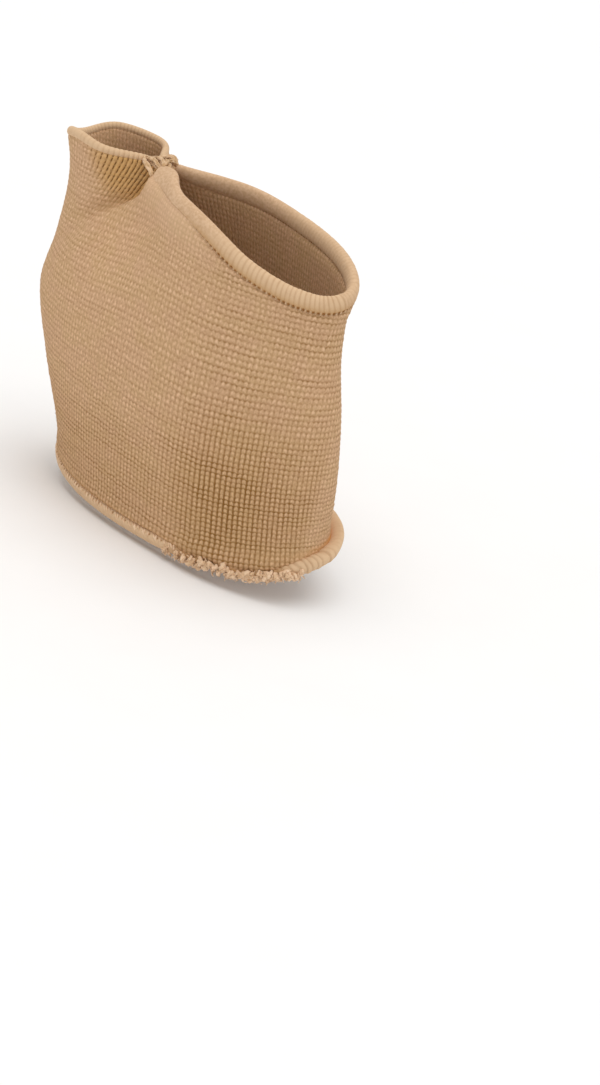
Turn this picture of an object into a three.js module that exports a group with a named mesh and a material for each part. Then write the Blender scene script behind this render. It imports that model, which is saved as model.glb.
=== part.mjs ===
// Metatarsal gel pad: an elastic knitted forefoot sleeve with a gel pad on its sole side.
// Millimetres. +Z points along the foot to the toes, -Y is the sole, +X the little-toe side.
// The origin is the middle of the hollow, at the ball of the foot.
import * as THREE from 'three';

// Fabric
const WALL = 1.6;
const GAP = 0.3;

// Mesh fineness of the knitted wall
const WALL_COLUMNS = 80;
const WALL_ROWS = 18;

// How square the sides of a section are: 1 is a plain oval
const ROUNDNESS = 0.86;

// Web between the big toe and the second toe, where the toe edge is drawn together
const WEB_X = -22.5;
const WEB_Y = -1;
const WEB_REACH_INNER = 6.5;
const WEB_REACH_OUTER = 13;

// Rolled hems: height along the wall and thickness across it
const TOE_HEM = { height: 4.8, thick: 3.4, steps: 40, sides: 10, outward: 0.4 };
const BIG_TOE_HEM = { height: 2, thick: 2.2, steps: 24, sides: 8, outward: 0.1 };
const HEEL_HEM = { height: 3.4, thickInner: 2.4, thickOuter: 3.6, steps: 64, sides: 10, outward: 0.2 };
const TACK_END = { height: 2, thick: 1.9, reach: 12, clear: 2.4 };

// Heel edge curled outward on the little-toe side: the wall flares over a share of its height, and
// the roll turns by some degrees until its free edge points out
const LIP = { angle: 28, spread: 26, out: 0.8, share: 0.1, turn: 95 };

// Crease of the sole under the big-toe loop, running down from the web to the big-toe side
const CREASE = { z: 31.5, slope: 1, half: 2.8, depth: 1.4, length: 13 };

// Thread tack across the web
const TACK = { length: 7, width: 3.4, height: 2.6 };

// Gel pad against the inner face of the sole
const PAD = { x: 0, z: 0, halfWidth: 30, halfLength: 25, thick: 3.2, edge: 0.6, rings: 5, around: 40 };

// Sections of the outer face, level by level from the heel side to the toes. The x columns are
// the big-toe side and little-toe side, the side columns their heights, the sole and top columns
// the depth under and over each half, and pinch the share drawn together at the web.
const SECTION_NAMES = [
  'level', 'innerX', 'outerX', 'innerY', 'outerY',
  'soleInner', 'soleOuter', 'topInner', 'topOuter', 'pinch',
];
const SECTIONS = [
  [-44, -37, 45, 8, 4, -13, -15, 34, 21.5, 0],
  [-30, -38.5, 46, 4, 1, -17, -16.5, 31, 18.5, 0],
  [-15, -43.5, 47, 1, -1, -20, -17.5, 28, 14.5, 0],
  [1, -48.5, 46, -1, -3, -21, -17.5, 25, 11, 0],
  [15, -46.5, 43, -2, -4, -19.5, -17, 21, 9, 0.12],
  [28, -46.5, 42, -3, -4, -17, -16.5, 17, 8.5, 0.5],
  [40, -50, 43, -3, -3, -17.5, -14.5, 14, 8, 0.9],
];

// Height of the finished toe edge and heel edge round the tube: 0 degrees is the little-toe side,
// 90 the top of the foot, 180 the big-toe side and 270 the sole
const TOE_EDGE = [
  [0, 32], [48, 37.5], [80, 39], [113, 39.5], [150, 40], [180, 37.5],
  [223, 41], [247, 40], [270, 39.5], [295, 33.5], [323, 31],
];
const HEEL_EDGE = [
  [0, -36.5], [50, -34.5], [110, -38], [180, -40.5], [210, -42.5], [270, -44], [315, -41.5],
];
const LOW = -44;
const HIGH = 40;

const clamp = THREE.MathUtils.clamp;
const lerp = THREE.MathUtils.lerp;
const smooth = (value) => THREE.MathUtils.smoothstep(value, 0, 1);
const power = (value, exponent) => Math.sign(value) * Math.abs(value) ** exponent;

// Smooth curve through the rows of a table, read at a key from its first column
function along(rows, column, at) {
  const last = rows.length - 1;
  const key = clamp(at, rows[0][0], rows[last][0]);
  let i = 0;
  while (i < last - 1 && key > rows[i + 1][0]) {
    i += 1;
  }
  const slope = (k) => {
    const before = rows[Math.max(k - 1, 0)];
    const after = rows[Math.min(k + 1, last)];
    return (after[column] - before[column]) / (after[0] - before[0]);
  };
  const span = rows[i + 1][0] - rows[i][0];
  const s = (key - rows[i][0]) / span;
  const start = rows[i][column] * (1 + 2 * s) * (1 - s) ** 2;
  const end = rows[i + 1][column] * (3 - 2 * s) * s ** 2;
  const lean = slope(i) * s * (1 - s) ** 2 - slope(i + 1) * (1 - s) * s ** 2;
  return start + end + lean * span;
}

const shifted = (table, turn) => table.map(([degrees, height]) => [degrees + turn, height]);
const wholeTurn = (table) => [...shifted(table, -360), ...table, ...shifted(table, 360)];
const TOE_ROUND = wholeTurn(TOE_EDGE);
const HEEL_ROUND = wholeTurn(HEEL_EDGE);
const degrees = (angle) => THREE.MathUtils.euclideanModulo(THREE.MathUtils.radToDeg(angle), 360);

function sectionAt(level) {
  const entries = SECTION_NAMES.map((name, column) => [name, along(SECTIONS, column, level)]);
  return Object.fromEntries(entries);
}

// Depth of the crease at a place on the sole
function creaseAt(x, z) {
  const beside = (z - CREASE.z - CREASE.slope * (x - WEB_X)) / Math.hypot(1, CREASE.slope);
  const away = (x - WEB_X + CREASE.length / 3) / CREASE.length;
  return CREASE.depth * Math.exp(-((beside / CREASE.half) ** 2) - away ** 2);
}

// Point of the outer face at an angle round the section
function sectionPoint(angle, level) {
  const f = sectionAt(level);
  const across = power(Math.cos(angle), ROUNDNESS);
  const up = power(Math.sin(angle), ROUNDNESS);
  const x = (f.innerX + f.outerX) / 2 + (f.outerX - f.innerX) / 2 * across;
  const inner = (1 - across) / 2;
  const side = lerp(f.outerY, f.innerY, inner);
  const top = lerp(f.topOuter, f.topInner, inner);
  const sole = lerp(f.soleOuter, f.soleInner, inner);
  const free = side + (up > 0 ? top - side : side - sole) * up + (up < 0 ? creaseAt(x, level) : 0);
  const reach = x > WEB_X ? WEB_REACH_OUTER : WEB_REACH_INNER;
  const drawn = f.pinch * Math.exp(-(((x - WEB_X) / reach) ** 2));
  return new THREE.Vector3(x, lerp(free, WEB_Y, drawn), level);
}

// Hem height grows from the tack to its full size along the four-toe opening
function toeHemSize(x, key) {
  if (x < WEB_X) {
    const share = smooth((WEB_X - x) / TACK_END.reach);
    return lerp(TACK_END[key], BIG_TOE_HEM[key], share);
  }
  return lerp(TACK_END[key], TOE_HEM[key], smooth((x - WEB_X) / TACK_END.reach));
}

// Share of the outward curl of the heel edge at an angle
function lipAt(angle) {
  const away = THREE.MathUtils.euclideanModulo(degrees(angle) - LIP.angle + 180, 360) - 180;
  return Math.exp(-((away / LIP.spread) ** 2));
}

// Outer face of the wall at an angle, from its heel end at 0 to its toe end at 1
function wallPoint(angle, share) {
  const level = lerp(LOW, HIGH, share);
  const x = sectionPoint(angle, level).x;
  const toeEnd = along(TOE_ROUND, 1, degrees(angle)) - toeHemSize(x, 'height') - GAP;
  const heelEnd = along(HEEL_ROUND, 1, degrees(angle)) + HEEL_HEM.height + GAP;
  const toeShift = (toeEnd - HIGH) * smooth((share - 0.45) / 0.55);
  const heelShift = (heelEnd - LOW) * smooth((0.5 - share) / 0.5);
  const point = sectionPoint(angle, level + toeShift + heelShift);
  const flare = LIP.out * lipAt(angle) * Math.max(1 - share / LIP.share, 0) ** 2;
  return point.add(new THREE.Vector3(Math.cos(angle), Math.sin(angle), 0).multiplyScalar(flare));
}

// Directions at a place on the wall: along the edge, towards the toes and outward
function wallFrame(angle, share) {
  const step = 0.004;
  const ahead = wallPoint(angle + step, share);
  const behind = wallPoint(angle - step, share);
  const round = ahead.sub(behind).normalize();
  const above = wallPoint(angle, Math.min(share + 0.02, 1));
  const below = wallPoint(angle, Math.max(share - 0.02, 0));
  const rise = above.sub(below);
  rise.addScaledVector(round, -rise.dot(round)).normalize();
  const out = new THREE.Vector3().crossVectors(round, rise).normalize();
  return { at: wallPoint(angle, share), round, rise, out };
}

// Angles that split a stretch of one row of the wall into equal lengths
function evenAngles(from, to, count, share) {
  const fine = 360;
  const angles = [];
  const lengths = [0];
  let last = null;
  for (let k = 0; k <= fine; k += 1) {
    const angle = lerp(from, to, k / fine);
    const point = wallPoint(angle, share);
    if (last) {
      lengths.push(lengths[k - 1] + point.distanceTo(last));
    }
    angles.push(angle);
    last = point;
  }
  const rows = lengths.map((length, k) => [length, angles[k]]);
  const even = [];
  let k = 0;
  for (let i = 0; i <= count; i += 1) {
    const target = lengths[fine] * i / count;
    while (k < fine - 1 && rows[k + 1][0] < target) {
      k += 1;
    }
    const part = (target - rows[k][0]) / (rows[k + 1][0] - rows[k][0]);
    even.push(lerp(rows[k][1], rows[k + 1][1], part));
  }
  return even;
}

// Solid between rings of points; a closed path joins its last ring to its first
function ringSolid(rings, closedPath) {
  const sides = rings[0].length;
  const points = rings.flat();
  const faces = [];
  const steps = closedPath ? rings.length : rings.length - 1;
  for (let j = 0; j < steps; j += 1) {
    const near = j * sides;
    const far = (j + 1) % rings.length * sides;
    for (let i = 0; i < sides; i += 1) {
      const next = (i + 1) % sides;
      faces.push(near + i, near + next, far + next, near + i, far + next, far + i);
    }
  }
  if (!closedPath) {
    const ends = [[rings[0], 0, false], [rings[rings.length - 1], (rings.length - 1) * sides, true]];
    for (const [ring, first, forward] of ends) {
      const middle = new THREE.Vector3();
      ring.forEach((point) => middle.addScaledVector(point, 1 / sides));
      const centre = points.push(middle) - 1;
      for (let i = 0; i < sides; i += 1) {
        const a = first + i;
        const b = first + (i + 1) % sides;
        faces.push(...(forward ? [centre, a, b] : [centre, b, a]));
      }
    }
  }
  const geometry = new THREE.BufferGeometry().setFromPoints(points);
  geometry.setIndex(faces);
  geometry.computeVertexNormals();
  return geometry;
}

// Knitted wall: each ring runs up the outer face and back down the inner face
function sleeveGeometry() {
  const START = -Math.PI / 2;
  const rows = [];
  for (let j = 0; j <= WALL_ROWS; j += 1) {
    const share = j / WALL_ROWS;
    const angles = evenAngles(START, START + 2 * Math.PI, WALL_COLUMNS, share);
    rows.push(angles.slice(0, WALL_COLUMNS).map((angle) => wallFrame(angle, share)));
  }
  const rings = [];
  for (let i = 0; i < WALL_COLUMNS; i += 1) {
    const outer = rows.map((row) => row[i].at);
    const inner = rows.map((row) => row[i].at.clone().addScaledVector(row[i].out, -WALL));
    rings.push([...inner, ...outer.reverse()]);
  }
  return ringSolid(rings, true);
}

// Oval roll laid along an edge of the wall; where it curls, its free edge swings outward
function rollGeometry(angles, share, spec, size, closedPath, curl) {
  const direction = share > 0.5 ? 1 : -1;
  const rings = angles.map((angle) => {
    const frame = wallFrame(angle, share);
    const { height, thick } = size(frame.at.x);
    const swing = curl(angle);
    const free = frame.rise.clone().multiplyScalar(direction * Math.cos(swing));
    free.addScaledVector(frame.out, Math.sin(swing));
    const face = new THREE.Vector3().crossVectors(frame.round, free).multiplyScalar(direction);
    const centre = frame.at.clone().addScaledVector(frame.out, spec.outward - WALL / 2);
    centre.addScaledVector(frame.out, Math.sin(swing) * WALL / 2);
    centre.addScaledVector(free, GAP + height / 2);
    const ring = [];
    for (let k = 0; k < spec.sides; k += 1) {
      const turn = 2 * Math.PI * k / spec.sides;
      const point = centre.clone().addScaledVector(face, Math.cos(turn) * thick / 2);
      ring.push(point.addScaledVector(free, direction * Math.sin(turn) * height / 2));
    }
    return ring.reverse();
  });
  return ringSolid(rings, closedPath);
}

// Angle at which the toe end of the wall lies at a given x, on the sole or on the top
function edgeAngle(x, onSole) {
  let low = 0;
  let high = Math.PI;
  for (let k = 0; k < 40; k += 1) {
    const middle = (low + high) / 2;
    const point = wallPoint(onSole ? -middle : middle, 1);
    if (point.x > x) {
      low = middle;
    } else {
      high = middle;
    }
  }
  return onSole ? -low : low;
}

function toeRoll(spec, from, to) {
  const angles = evenAngles(from, to, spec.steps, 1);
  const size = (x) => ({ height: toeHemSize(x, 'height'), thick: toeHemSize(x, 'thick') });
  return rollGeometry(angles, 1, spec, size, false, () => 0);
}

function heelRoll() {
  const START = -Math.PI / 2;
  const angles = evenAngles(START, START + 2 * Math.PI, HEEL_HEM.steps, 0).slice(0, HEEL_HEM.steps);
  const size = (x) => {
    const thick = lerp(HEEL_HEM.thickInner, HEEL_HEM.thickOuter, smooth((x + 40) / 80));
    return { height: HEEL_HEM.height, thick };
  };
  const curl = (angle) => THREE.MathUtils.degToRad(LIP.turn) * lipAt(angle);
  return rollGeometry(angles, 0, HEEL_HEM, size, true, curl);
}

// Pad face: an oval patch of the sole, moved inward from the outer face
function solePlace(x, z) {
  const f = sectionAt(z);
  const across = (2 * x - f.innerX - f.outerX) / (f.outerX - f.innerX);
  return sectionPoint(-Math.acos(power(across, 1 / ROUNDNESS)), z);
}

function padPoint(x, z, inward) {
  const step = 0.5;
  const acrossLine = solePlace(x + step, z).sub(solePlace(x - step, z));
  const alongLine = solePlace(x, z + step).sub(solePlace(x, z - step));
  const out = acrossLine.cross(alongLine).normalize();
  return solePlace(x, z).addScaledVector(out, -inward);
}

function padGeometry() {
  const seat = WALL + 1.5 * GAP;
  const rings = [];
  const ringAt = (radius, inward) => {
    const ring = [];
    for (let i = 0; i < PAD.around; i += 1) {
      const turn = 2 * Math.PI * i / PAD.around;
      const x = PAD.x + PAD.halfWidth * radius * Math.cos(turn);
      const z = PAD.z + PAD.halfLength * radius * Math.sin(turn);
      ring.push(padPoint(x, z, inward));
    }
    return ring;
  };
  for (let k = 1; k <= PAD.rings; k += 1) {
    rings.push(ringAt(k / PAD.rings, seat));
  }
  for (let k = PAD.rings; k >= 1; k -= 1) {
    const radius = k / PAD.rings;
    rings.push(ringAt(radius * 0.985, seat + lerp(PAD.thick, PAD.edge, radius ** 4)));
  }
  return ringSolid(rings.reverse(), false);
}

function tackGeometry() {
  const radius = TACK.width / 2;
  const bar = new THREE.CapsuleGeometry(radius, TACK.length - TACK.width, 5, 14);
  bar.scale(1, 1, TACK.height / TACK.width);
  return bar;
}

function finish(name, color, roughness) {
  return new THREE.MeshStandardMaterial({ name, color, roughness, metalness: 0 });
}

const group = new THREE.Group();
group.name = 'metatarsal_gel_pad';

function add(name, geometry, material) {
  const mesh = new THREE.Mesh(geometry, material);
  mesh.name = name;
  group.add(mesh);
  return mesh;
}

const soleTack = WEB_X + TACK_END.clear;
const innerTack = WEB_X - TACK_END.clear;
const toeStart = edgeAngle(soleTack, true);
const toeFinish = edgeAngle(soleTack, false);
const loopStart = edgeAngle(innerTack, false);
const loopFinish = edgeAngle(innerTack, true) + 2 * Math.PI;
add('sleeve', sleeveGeometry(), finish('knit', 0xc09b74, 0.92));
add('toe_hem', toeRoll(TOE_HEM, toeStart, toeFinish), finish('hem_thread', 0xc4a17b, 0.9));
add('big_toe_hem', toeRoll(BIG_TOE_HEM, loopStart, loopFinish), finish('loop_thread', 0xc4a17b, 0.9));
add('heel_hem', heelRoll(), finish('heel_thread', 0xc4a17b, 0.9));
add('gel_pad', padGeometry(), finish('gel', 0xe3d3bd, 0.35));

const tack = add('web_tack', tackGeometry(), finish('tack_thread', 0xd2b48d, 0.85));
const tackFoot = wallPoint(edgeAngle(WEB_X, true), 1).z;
tack.position.set(WEB_X, WEB_Y, tackFoot + TACK.height / 2);

export default group;
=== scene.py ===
# %% [markdown]
# # A metatarsal gel pad
# This is an elastic knitted sleeve with a loop at one side and a soft gel pad inside its sole.
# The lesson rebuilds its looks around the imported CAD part: the camera and the light come first,
# then the knitted wall, the sewn hems, the threads, the pad, and last the finishes.

# %% Load the frame
import math

import bpy
import numpy as np
from mathutils import Matrix, Vector


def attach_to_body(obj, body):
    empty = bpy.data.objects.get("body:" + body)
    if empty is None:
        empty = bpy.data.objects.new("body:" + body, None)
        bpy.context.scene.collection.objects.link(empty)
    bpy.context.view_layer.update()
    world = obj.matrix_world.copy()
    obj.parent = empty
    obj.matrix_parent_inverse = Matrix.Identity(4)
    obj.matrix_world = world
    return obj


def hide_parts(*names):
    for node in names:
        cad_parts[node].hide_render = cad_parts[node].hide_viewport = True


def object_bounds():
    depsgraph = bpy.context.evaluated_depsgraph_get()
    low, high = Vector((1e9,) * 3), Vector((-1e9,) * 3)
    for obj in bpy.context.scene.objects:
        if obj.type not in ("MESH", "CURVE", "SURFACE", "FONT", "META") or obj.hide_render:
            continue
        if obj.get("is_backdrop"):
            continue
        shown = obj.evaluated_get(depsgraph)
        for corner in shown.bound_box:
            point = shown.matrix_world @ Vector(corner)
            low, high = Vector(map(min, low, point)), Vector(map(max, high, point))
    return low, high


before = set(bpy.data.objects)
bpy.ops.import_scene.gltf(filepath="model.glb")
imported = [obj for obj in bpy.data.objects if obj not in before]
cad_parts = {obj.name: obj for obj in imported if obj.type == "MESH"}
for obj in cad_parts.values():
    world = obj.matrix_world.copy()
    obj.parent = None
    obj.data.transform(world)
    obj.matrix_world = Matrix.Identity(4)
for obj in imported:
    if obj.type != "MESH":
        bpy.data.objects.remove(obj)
CAD_BOX = [list(corner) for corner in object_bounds()]
MM = 0.001
print("CAD nodes:", sorted(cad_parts))

# %% [markdown]
# ## Camera
# The photograph looks at the sole side, from its outer edge and a little from the toe openings, and the
# sleeve leans to the right in it. So the camera is turned about the object, raised, and then rolled.
# It is moved sideways instead of shifted, because then the other views stay well framed.

# %% Camera
PHOTO_WIDTH, PHOTO_HEIGHT = 600, 1085
AZIMUTH, ELEVATION, ROLL = math.radians(38.0), math.radians(22.6), math.radians(13.3)
PIXELS_PER_MM = 4.25
EYE_DISTANCE = 1000.0
ORIGIN_PIXEL = (200.0, 350.0)
SENSOR = 36.0

flat_part = math.cos(ELEVATION)
back = Vector((math.sin(AZIMUTH) * flat_part, -math.cos(AZIMUTH) * flat_part, math.sin(ELEVATION)))
flat_right = Vector((math.cos(AZIMUTH), math.sin(AZIMUTH), 0))
steep_up = back.cross(flat_right)
right = flat_right * math.cos(ROLL) + steep_up * math.sin(ROLL)
up = steep_up * math.cos(ROLL) - flat_right * math.sin(ROLL)
right_by = (ORIGIN_PIXEL[0] - PHOTO_WIDTH / 2) / PIXELS_PER_MM
up_by = (PHOTO_HEIGHT / 2 - ORIGIN_PIXEL[1]) / PIXELS_PER_MM
eye = (back * EYE_DISTANCE - right * right_by - up * up_by) * MM

bpy.ops.object.select_all(action="DESELECT")
bpy.ops.object.camera_add(location=eye)
camera = bpy.context.object
camera.matrix_world = Matrix.Translation(eye) @ Matrix((right, up, back)).transposed().to_4x4()
camera.data.sensor_width = SENSOR
camera.data.lens = PIXELS_PER_MM * EYE_DISTANCE * SENSOR / PHOTO_HEIGHT
camera.data.clip_end = 50
bpy.context.scene.camera = camera
print("camera lens", round(camera.data.lens, 1), "mm, at", [round(v, 3) for v in eye])

# %% [markdown]
# ## Light and floor
# The photograph has soft, even light that falls from above, and a white ground. A bright plain world
# gives the even part. A very wide sun stands for a large softbox over the camera: its light is the
# same all over the floor, so the ground stays one pale tone.

# %% Light and floor
FLOOR_SIZE = 14.0
FLOOR_DROP = 0.0455
SKY_COLOUR, SKY_STRENGTH = (1.0, 0.985, 0.965, 1), 0.68
KEY_STRENGTH, KEY_WIDTH = 1.42, math.radians(60)
scene = bpy.context.scene
scene.view_settings.view_transform = "Standard"
scene.view_settings.look = "None"

world = bpy.data.worlds.new("studio")
scene.world = world
world.use_nodes = True
sky = world.node_tree.nodes["Background"]
sky.inputs["Color"].default_value = SKY_COLOUR
sky.inputs["Strength"].default_value = SKY_STRENGTH

towards_key = back * 0.5 + right * 0.22 + up * 0.85
bpy.ops.object.light_add(type="SUN", rotation=towards_key.to_track_quat("Z", "Y").to_euler())
key = bpy.context.object
key.name = "key_softbox"
key.data.energy = KEY_STRENGTH
key.data.angle = KEY_WIDTH

bpy.ops.object.select_all(action="DESELECT")
bpy.ops.mesh.primitive_plane_add(size=FLOOR_SIZE, location=(0, 0, -FLOOR_DROP))
floor = bpy.context.object
floor.name = "floor"
floor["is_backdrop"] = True
print("floor at", floor.location.z)

# %% [markdown]
# ## The form
# Every piece follows the same form as the CAD part: level sections of the sleeve, its toe edge and
# its heel edge, drawn together at the web beside the big-toe loop. The numbers are repeated here in
# millimetres, with a slightly fuller heel roll, and each function takes whole arrays, so thousands of
# points are placed at once.

# %% Numbers of the form
WALL, GAP, ROUNDNESS = 1.6, 0.3, 0.86
WEB_X, WEB_Y, WEB_REACH_INNER, WEB_REACH_OUTER = -22.5, -1.0, 6.5, 13.0
TOE_HEM = {"height": 4.8, "outward": 0.4}
BIG_TOE_HEM = {"height": 2.0, "outward": 0.1}
TACK_END = {"height": 2.0, "reach": 12.0, "clear": 2.4}
HEEL_HEIGHT, HEEL_THICK_INNER, HEEL_THICK_OUTER, HEEL_OUTWARD = 3.4, 2.8, 3.6, 0.2
LIP_ANGLE, LIP_SPREAD, LIP_OUT, LIP_SHARE, LIP_TURN = 28.0, 26.0, 0.8, 0.1, 95.0
CREASE_Z, CREASE_HALF, CREASE_DEPTH, CREASE_LENGTH = 31.5, 2.8, 1.4, 13.0
LOW, HIGH = -44.0, 40.0
SECTION_NAMES = ("level", "inner_x", "outer_x", "inner_y", "outer_y",
                 "sole_inner", "sole_outer", "top_inner", "top_outer", "pinch")
SECTIONS = np.array([
    [-44, -37, 45, 8, 4, -13, -15, 34, 21.5, 0],
    [-30, -38.5, 46, 4, 1, -17, -16.5, 31, 18.5, 0],
    [-15, -43.5, 47, 1, -1, -20, -17.5, 28, 14.5, 0],
    [1, -48.5, 46, -1, -3, -21, -17.5, 25, 11, 0],
    [15, -46.5, 43, -2, -4, -19.5, -17, 21, 9, 0.12],
    [28, -46.5, 42, -3, -4, -17, -16.5, 17, 8.5, 0.5],
    [40, -50, 43, -3, -3, -17.5, -14.5, 14, 8, 0.9],
])
TOE_EDGE = np.array([
    [0, 32], [48, 37.5], [80, 39], [113, 39.5], [150, 40], [180, 37.5],
    [223, 41], [247, 40], [270, 39.5], [295, 33.5], [323, 31],
])
HEEL_EDGE = np.array([
    [0, -36.5], [50, -34.5], [110, -37], [180, -38.6], [205, -41], [230, -43.2], [270, -44], [315, -41.5],
])


def lerp(start, end, share):
    return start + (end - start) * share


def smooth(value):
    value = np.clip(value, 0, 1)
    return value * value * (3 - 2 * value)


def bell(value):
    return np.exp(-np.square(value))


def power(value, exponent):
    return np.sign(value) * np.abs(value) ** exponent


def along(rows, column, at):
    """Smooth curve through the rows of a table, read at keys of its first column."""
    keys, values = rows[:, 0], rows[:, column]
    before, after = np.r_[0, :len(keys) - 1], np.r_[1:len(keys), len(keys) - 1]
    slope = (values[after] - values[before]) / (keys[after] - keys[before])
    at = np.clip(at, keys[0], keys[-1])
    i = np.clip(np.searchsorted(keys, at) - 1, 0, len(keys) - 2)
    span = keys[i + 1] - keys[i]
    s = (at - keys[i]) / span
    start = values[i] * (1 + 2 * s) * (1 - s) ** 2
    end = values[i + 1] * (3 - 2 * s) * s ** 2
    lean = slope[i] * s * (1 - s) ** 2 - slope[i + 1] * (1 - s) * s ** 2
    return start + end + lean * span


def round_edge(table, angle):
    turned = np.concatenate([table + [turn, 0] for turn in (-360, 0, 360)])
    return along(turned, 1, np.degrees(angle) % 360)


def away_from(angles, middle):
    """Degrees from one angle to others, between -180 and 180."""
    return (np.degrees(angles) - middle + 180) % 360 - 180


def between(angles, start, end, blur):
    """1 between two angles in degrees and 0 outside, with a soft change."""
    middle, half = (start + end) / 2, (end - start) / 2
    return smooth((half + blur / 2 - np.abs(away_from(angles, middle))) / blur)


# %% The wall's outer face
def crease_at(x, z):
    beside = (z - CREASE_Z - (x - WEB_X)) / math.sqrt(2)
    away = (x - WEB_X + CREASE_LENGTH / 3) / CREASE_LENGTH
    return CREASE_DEPTH * bell(beside / CREASE_HALF) * bell(away)


def section_point(angle, level):
    f = {name: along(SECTIONS, k, level) for k, name in enumerate(SECTION_NAMES)}
    across, rise = power(np.cos(angle), ROUNDNESS), power(np.sin(angle), ROUNDNESS)
    x = (f["inner_x"] + f["outer_x"]) / 2 + (f["outer_x"] - f["inner_x"]) / 2 * across
    inner = (1 - across) / 2
    side = lerp(f["outer_y"], f["inner_y"], inner)
    top = lerp(f["top_outer"], f["top_inner"], inner)
    sole = lerp(f["sole_outer"], f["sole_inner"], inner)
    free = side + np.where(rise > 0, top - side, side - sole) * rise
    free = free + np.where(rise < 0, crease_at(x, level), 0)
    reach = np.where(x > WEB_X, WEB_REACH_OUTER, WEB_REACH_INNER)
    y = lerp(free, WEB_Y, f["pinch"] * bell((x - WEB_X) / reach))
    return np.stack(np.broadcast_arrays(x, y, level), -1)


def toe_hem_height(x):
    far = np.where(x < WEB_X, BIG_TOE_HEM["height"], TOE_HEM["height"])
    return lerp(TACK_END["height"], far, smooth(np.abs(x - WEB_X) / TACK_END["reach"]))


def lip_at(angle):
    return bell(away_from(angle, LIP_ANGLE) / LIP_SPREAD)


def flared(point, angle, past):
    """Points pushed outward at the curled lip: past is 0 at the heel end and 1 where the curl ends."""
    flare = LIP_OUT * lip_at(angle) * np.maximum(1 - past, 0) ** 2
    outward = np.stack([np.cos(angle), np.sin(angle), np.zeros_like(angle)], -1)
    return point + outward * flare[..., None]


def wall_point(angle, share):
    angle, share = np.broadcast_arrays(angle, share)
    level = lerp(LOW, HIGH, share)
    x = section_point(angle, level)[..., 0]
    toe_end = round_edge(TOE_EDGE, angle) - toe_hem_height(x) - GAP
    heel_end = round_edge(HEEL_EDGE, angle) + HEEL_HEIGHT + GAP
    toe_shift = (toe_end - HIGH) * smooth((share - 0.45) / 0.55)
    heel_shift = (heel_end - LOW) * smooth((0.5 - share) / 0.5)
    return flared(section_point(angle, level + toe_shift + heel_shift), angle, share / LIP_SHARE)


def unit(vectors):
    return vectors / np.linalg.norm(vectors, axis=-1, keepdims=True)


def dot(a, b):
    return (a * b).sum(-1, keepdims=True)


ANGLE_STEP, SHARE_STEP = 0.004, 0.02


def wall_frame(angle, share):
    """The place on the wall, and the directions along the edge, to the toe end and outward."""
    round_way = unit(wall_point(angle + ANGLE_STEP, share) - wall_point(angle - ANGLE_STEP, share))
    rise = wall_point(angle, min(share + SHARE_STEP, 1)) - wall_point(angle, max(share - SHARE_STEP, 0))
    rise = unit(rise - round_way * dot(rise, round_way))
    return wall_point(angle, share), round_way, rise, unit(np.cross(round_way, rise))


def run_along(points):
    """Length of a path up to each of its points."""
    return np.r_[0, np.cumsum(np.linalg.norm(np.diff(points, axis=0), axis=-1))]


def edge_angle(x, side):
    """Angle where the toe end of the wall lies at x: side is -1 on the sole and 1 on the top."""
    fine = np.linspace(0, math.pi, 4001)
    return side * np.interp(-x, -wall_point(side * fine, 1.0)[:, 0], fine)


ROUND_STEPS = 1441
girth = run_along(wall_point(np.linspace(0, 2 * math.pi, ROUND_STEPS), 0.5))[-1]
print("girth at mid height", round(girth, 1), "mm")

# %% [markdown]
# ## The fold at the web
# Beside the big-toe loop the sole side is drawn up to a thread tack, and its fabric hangs over the
# loop in a soft fold. The fold is a push on the points near one line of the sole: towards the
# loop and outward on one side, inward on the other. Wall and hems go through the same push.

# %% Fold at the web
FOLD_LINE = np.array([[-21, 44], [-19.8, 40], [-18.6, 36], [-20, 33.1], [-23, 30.2], [-29.6, 24.7],
                      [-34.4, 20.4]])
FOLD_SHARE = np.array([[0, 0.2], [4, 0.6], [8, 1], [12, 1], [17, 0.75], [25, 0.3], [31, 0]])
FOLD_OVER, FOLD_OUT, FOLD_IN = 1.6, 2.0, 1.0
FOLD_CREST, FOLD_STEEP, FOLD_GENTLE = 1.8, 1.2, 4.0
FOLD_GROOVE, FOLD_GROOVE_HALF = -1.0, 1.5


def bent(points, count):
    """A smooth path of count points through a few given ones."""
    points = np.asarray(points, float)
    keys = np.arange(len(points), dtype=float)
    at = np.linspace(0, len(points) - 1, count)
    return np.stack([along(np.c_[keys, points[:, k]], 1, at) for k in range(points.shape[1])], -1)


fold_path = bent(FOLD_LINE, 49)
fold_run = run_along(fold_path)


def fold_place(points):
    """How far points lie on the main side of the fold's line, how far down it, and its direction there."""
    flat = points[..., [0, 2]]
    nearest = np.full(flat.shape[:-1], np.inf)
    aside, down, way = np.zeros_like(nearest), np.zeros_like(nearest), np.zeros_like(flat)
    for k in range(len(fold_path) - 1):
        edge = fold_path[k + 1] - fold_path[k]
        length = np.linalg.norm(edge)
        offset = flat - fold_path[k]
        share = np.clip((offset @ edge) / length ** 2, 0, 1)
        distance = np.linalg.norm(offset - share[..., None] * edge, axis=-1)
        closer = distance < nearest
        side = np.sign(edge[0] * offset[..., 1] - edge[1] * offset[..., 0])
        nearest = np.where(closer, distance, nearest)
        aside = np.where(closer, side * distance, aside)
        down = np.where(closer, fold_run[k] + share * length, down)
        way = np.where(closer[..., None], edge / length, way)
    return aside, down, way


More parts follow.
